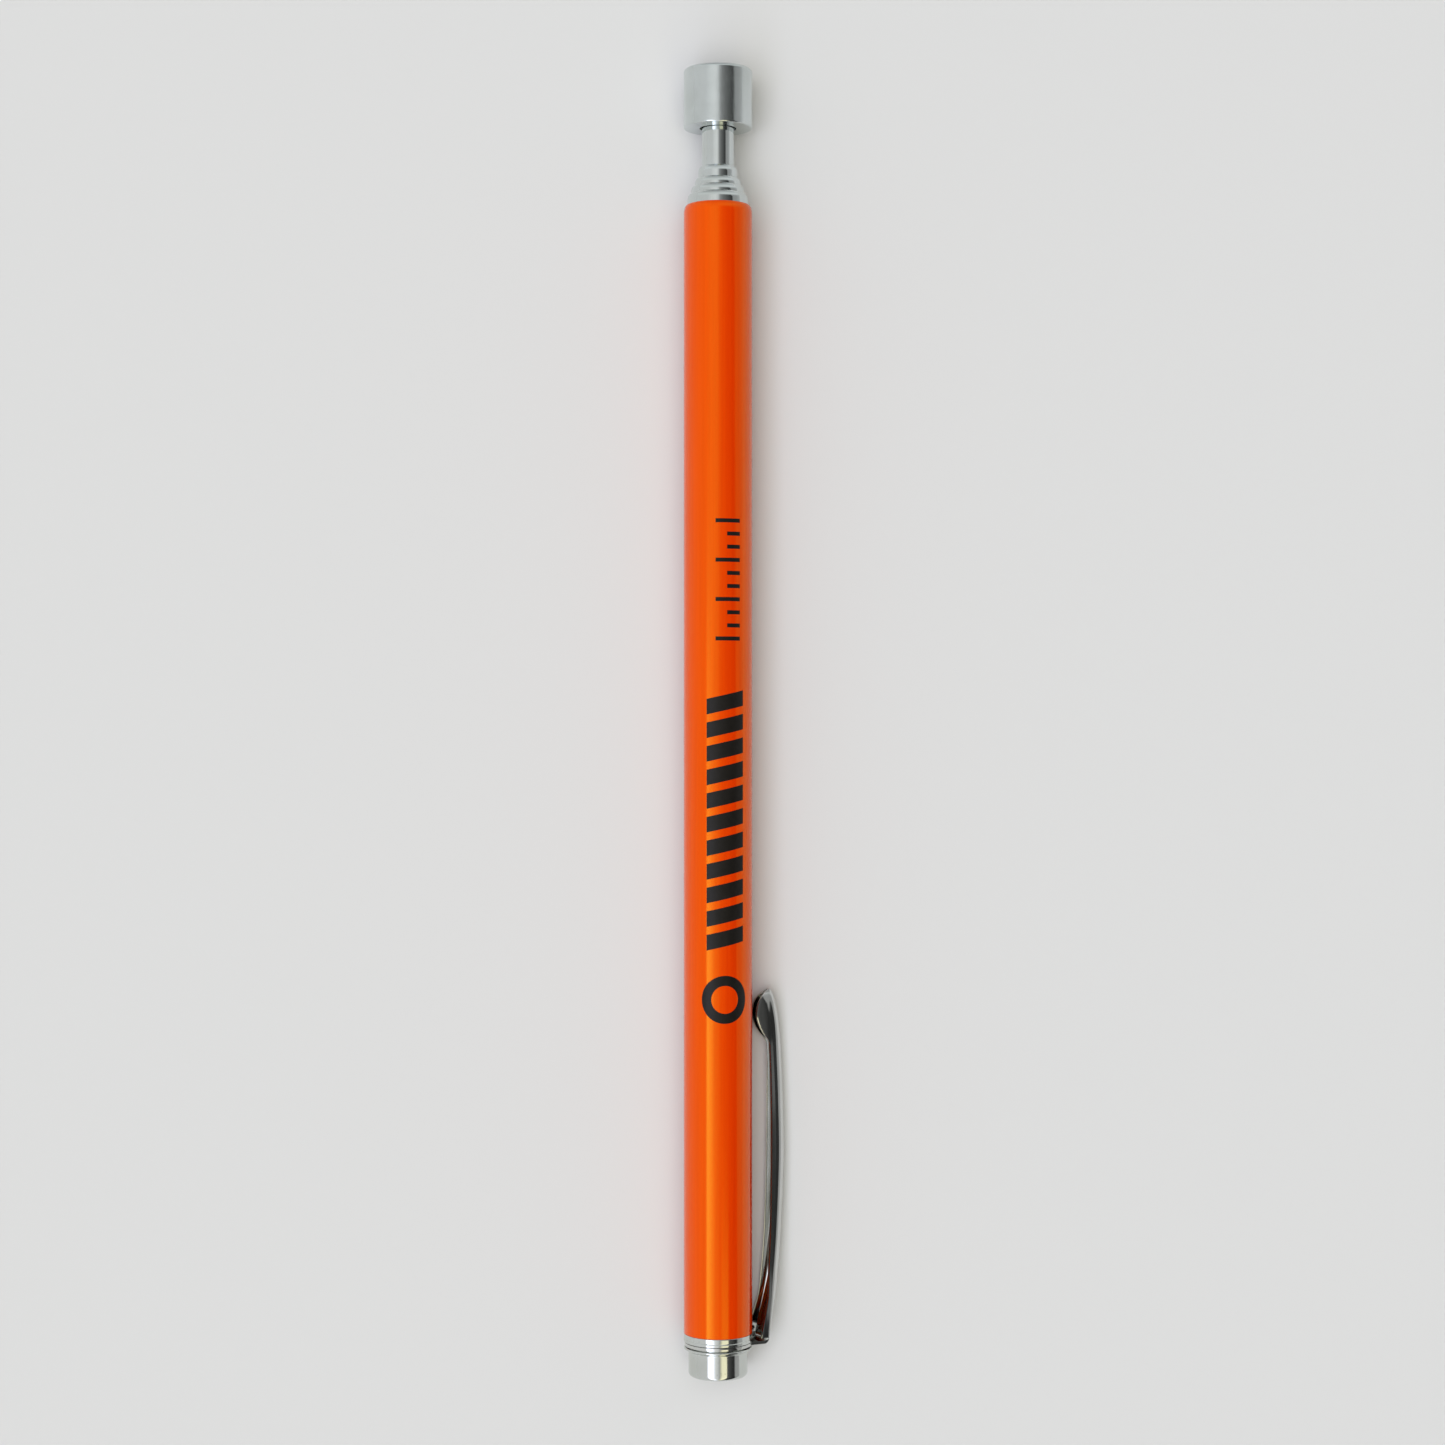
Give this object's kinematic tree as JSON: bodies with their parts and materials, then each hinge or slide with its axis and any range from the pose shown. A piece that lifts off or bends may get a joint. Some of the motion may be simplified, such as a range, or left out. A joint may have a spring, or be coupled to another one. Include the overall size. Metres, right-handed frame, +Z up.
{
  "type": "telescoping magnetic pickup tool",
  "caption": "Pen-sized telescoping pickup tool: round magnet head on nested bright tubes that slide out of a lacquered barrel with an end knob and a spring pocket clip.",
  "frame": {"origin": "centre of the flat end face of the knob, on the tool's axis", "axes": "+X along the tool to the magnet, +Z up; the tool lies on a plane 4.35 mm below its axis, with the clip on the -Y side"},
  "size_m": [0.1651, 0.0131, 0.0086],
  "materials": {
    "lacquer": "glossy orange lacquer",
    "chrome": "polished bright plating",
    "satin_nickel": "fine satin",
    "bronze": "plain spring bronze",
    "brass": "machined",
    "spacer": "moulded",
    "magnet": "plated, ground flat"
  },
  "bodies": {
    "barrel": {"barrel_tube": "lacquer", "end_ferrule": "chrome", "end_plug": "chrome", "pocket_clip_base": "chrome"},
    "clip_arm": {"pocket_clip_arm": "chrome"},
    "shoes_1": {"friction_shoe_1a": "bronze", "friction_shoe_1b": "bronze"},
    "section_1": {"section_1_tube": "chrome"},
    "shoes_2": {"friction_shoe_2a": "bronze", "friction_shoe_2b": "bronze"},
    "section_2": {"section_2_tube": "chrome"},
    "shoes_3": {"friction_shoe_3a": "bronze", "friction_shoe_3b": "bronze"},
    "section_3": {"section_3_tube": "chrome"},
    "shoes_4": {"friction_shoe_4a": "bronze", "friction_shoe_4b": "bronze"},
    "section_4": {"section_4_tube": "chrome"},
    "shoes_5": {"friction_shoe_5a": "bronze", "friction_shoe_5b": "bronze"},
    "section_5": {"section_5_tube": "chrome", "head_stem": "brass", "magnet_cup": "satin_nickel", "spacer_sleeve": "spacer", "magnet_disc": "magnet"}
  },
  "joints": [
    {"name": "clip_flex", "type": "hinge", "parent": "barrel", "child": "clip_arm", "pos_m": [0.0044, -0.00596, -0.00246], "axis": [0, 0.3806, -0.9247], "range_deg": [0, 5], "stiffness_Nm_per_rad": 2},
    {"name": "section_1_slide", "type": "slide", "parent": "barrel", "child": "shoes_1", "axis": [1, 0, 0], "range_m": [0, 0.1279]},
    {"name": "section_1_spin", "type": "hinge", "parent": "shoes_1", "child": "section_1", "pos_m": [0, 0, 0], "axis": [1, 0, 0], "continuous": true},
    {"name": "section_2_slide", "type": "slide", "parent": "section_1", "child": "shoes_2", "axis": [1, 0, 0], "range_m": [0, 0.122]},
    {"name": "section_2_spin", "type": "hinge", "parent": "shoes_2", "child": "section_2", "pos_m": [0, 0, 0], "axis": [1, 0, 0], "continuous": true},
    {"name": "section_3_slide", "type": "slide", "parent": "section_2", "child": "shoes_3", "axis": [1, 0, 0], "range_m": [0, 0.1157]},
    {"name": "section_3_spin", "type": "hinge", "parent": "shoes_3", "child": "section_3", "pos_m": [0, 0, 0], "axis": [1, 0, 0], "continuous": true},
    {"name": "section_4_slide", "type": "slide", "parent": "section_3", "child": "shoes_4", "axis": [1, 0, 0], "range_m": [0, 0.1094]},
    {"name": "section_4_spin", "type": "hinge", "parent": "shoes_4", "child": "section_4", "pos_m": [0, 0, 0], "axis": [1, 0, 0], "continuous": true},
    {"name": "section_5_slide", "type": "slide", "parent": "section_4", "child": "shoes_5", "axis": [1, 0, 0], "range_m": [0, 0.1036]},
    {"name": "section_5_spin", "type": "hinge", "parent": "shoes_5", "child": "section_5", "pos_m": [0, 0, 0], "axis": [1, 0, 0], "continuous": true}
  ]
}
